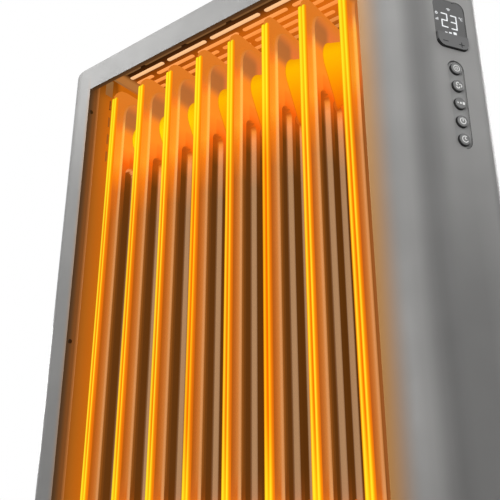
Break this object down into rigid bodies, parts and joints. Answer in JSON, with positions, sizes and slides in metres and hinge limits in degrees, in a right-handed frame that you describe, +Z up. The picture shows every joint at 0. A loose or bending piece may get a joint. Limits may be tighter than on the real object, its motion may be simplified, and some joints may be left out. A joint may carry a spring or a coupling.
{
  "type": "oil filled radiator",
  "caption": "Cased oil filled radiator: glowing fins in a slim open frame, a control tower with display and buttons, swivelling casters.",
  "frame": {"origin": "centre of the bounding box's bottom face, on the floor", "axes": "+Z up, front window and controls face -Y, the control tower is at +X"},
  "size_m": [0.469, 0.244, 0.68],
  "materials": {
    "casing": "satin, light grain",
    "grille": "satin enamel",
    "liner": "satin enamel",
    "fins": "enamel, shown glowing",
    "zinc_steel": "zinc plated",
    "screws": "zinc plated",
    "brass": "machined",
    "element": "drawn",
    "dark_plastic": "moulded",
    "display": "smoked, satin",
    "circuit_board": "solder mask",
    "keys": "satin",
    "strip": "satin",
    "buttons": "satin",
    "pale_plastic": "moulded",
    "feet": "moulded, light grain",
    "forks": "moulded",
    "axles": "turned",
    "wheels": "soft tread"
  },
  "bodies": {
    "casing": {"front_shell": "casing", "rear_shell": "casing", "top_grille": "grille", "grip_cup": "dark_plastic", "service_cover": "casing", "base_tray": "zinc_steel", "left_liner": "liner", "tower_liner": "liner", "liner_screws": "screws", "shell_screws": "screws", "fin_1": "fins", "fin_2": "fins", "fin_3": "fins", "fin_4": "fins", "fin_5": "fins", "fin_6": "fins", "fin_7": "fins", "fin_8": "fins", "end_caps": "fins", "filler_plug": "brass", "heating_element": "element", "element_flange": "brass", "thermal_cutout": "dark_plastic", "left_saddle": "zinc_steel", "right_saddle": "zinc_steel", "panel_carrier": "dark_plastic", "display_lens": "display", "display_board": "circuit_board", "button_strip": "strip", "switch_board": "circuit_board", "power_board": "circuit_board", "terminal_block": "pale_plastic", "tip_switch": "pale_plastic", "room_sensor": "dark_plastic", "cord_gland": "dark_plastic", "left_foot_bar": "feet", "right_foot_bar": "feet", "foot_screws": "screws"},
    "ring_button": {"ring_button": "buttons"},
    "swing_button": {"swing_button": "buttons"},
    "level_button": {"level_button": "buttons"},
    "power_button": {"power_button": "buttons"},
    "timer_button": {"timer_button": "buttons"},
    "temperature_key": {"temperature_key": "keys"},
    "caster_1": {"fork_1": "forks", "axle_1": "axles"},
    "caster_wheel_1": {"wheel_1": "wheels"},
    "caster_2": {"fork_2": "forks", "axle_2": "axles"},
    "caster_wheel_2": {"wheel_2": "wheels"},
    "caster_3": {"fork_3": "forks", "axle_3": "axles"},
    "caster_wheel_3": {"wheel_3": "wheels"},
    "caster_4": {"fork_4": "forks", "axle_4": "axles"},
    "caster_wheel_4": {"wheel_4": "wheels"}
  },
  "joints": [
    {"name": "ring_press", "type": "slide", "parent": "casing", "child": "ring_button", "axis": [-0.8545, 0.5195, 0], "range_m": [0, 0.0008], "stiffness_N_per_m": 1500},
    {"name": "swing_press", "type": "slide", "parent": "casing", "child": "swing_button", "axis": [-0.8545, 0.5195, 0], "range_m": [0, 0.0008], "stiffness_N_per_m": 1500},
    {"name": "level_press", "type": "slide", "parent": "casing", "child": "level_button", "axis": [-0.8545, 0.5195, 0], "range_m": [0, 0.0008], "stiffness_N_per_m": 1500},
    {"name": "power_press", "type": "slide", "parent": "casing", "child": "power_button", "axis": [-0.8545, 0.5195, 0], "range_m": [0, 0.0008], "stiffness_N_per_m": 1500},
    {"name": "timer_press", "type": "slide", "parent": "casing", "child": "timer_button", "axis": [-0.8545, 0.5195, 0], "range_m": [0, 0.0008], "stiffness_N_per_m": 1500},
    {"name": "temperature_rock", "type": "hinge", "parent": "casing", "child": "temperature_key", "pos_m": [0.21622, -0.02269, 0.5465], "axis": [0, 0, 1], "range_deg": [-3, 3], "stiffness_Nm_per_rad": 0.3},
    {"name": "swivel_1", "type": "hinge", "parent": "casing", "child": "caster_1", "pos_m": [-0.15, -0.105, 0.0507], "axis": [0, 0, 1], "continuous": true},
    {"name": "roll_1", "type": "hinge", "parent": "caster_1", "child": "caster_wheel_1", "pos_m": [-0.162, -0.105, 0.022], "axis": [0, 1, 0], "continuous": true},
    {"name": "swivel_2", "type": "hinge", "parent": "casing", "child": "caster_2", "pos_m": [0.15, -0.105, 0.0507], "axis": [0, 0, 1], "continuous": true},
    {"name": "roll_2", "type": "hinge", "parent": "caster_2", "child": "caster_wheel_2", "pos_m": [0.138, -0.105, 0.022], "axis": [0, 1, 0], "continuous": true},
    {"name": "swivel_3", "type": "hinge", "parent": "casing", "child": "caster_3", "pos_m": [-0.15, 0.105, 0.0507], "axis": [0, 0, 1], "continuous": true},
    {"name": "roll_3", "type": "hinge", "parent": "caster_3", "child": "caster_wheel_3", "pos_m": [-0.162, 0.105, 0.022], "axis": [0, 1, 0], "continuous": true},
    {"name": "swivel_4", "type": "hinge", "parent": "casing", "child": "caster_4", "pos_m": [0.15, 0.105, 0.0507], "axis": [0, 0, 1], "continuous": true},
    {"name": "roll_4", "type": "hinge", "parent": "caster_4", "child": "caster_wheel_4", "pos_m": [0.138, 0.105, 0.022], "axis": [0, 1, 0], "continuous": true}
  ]
}
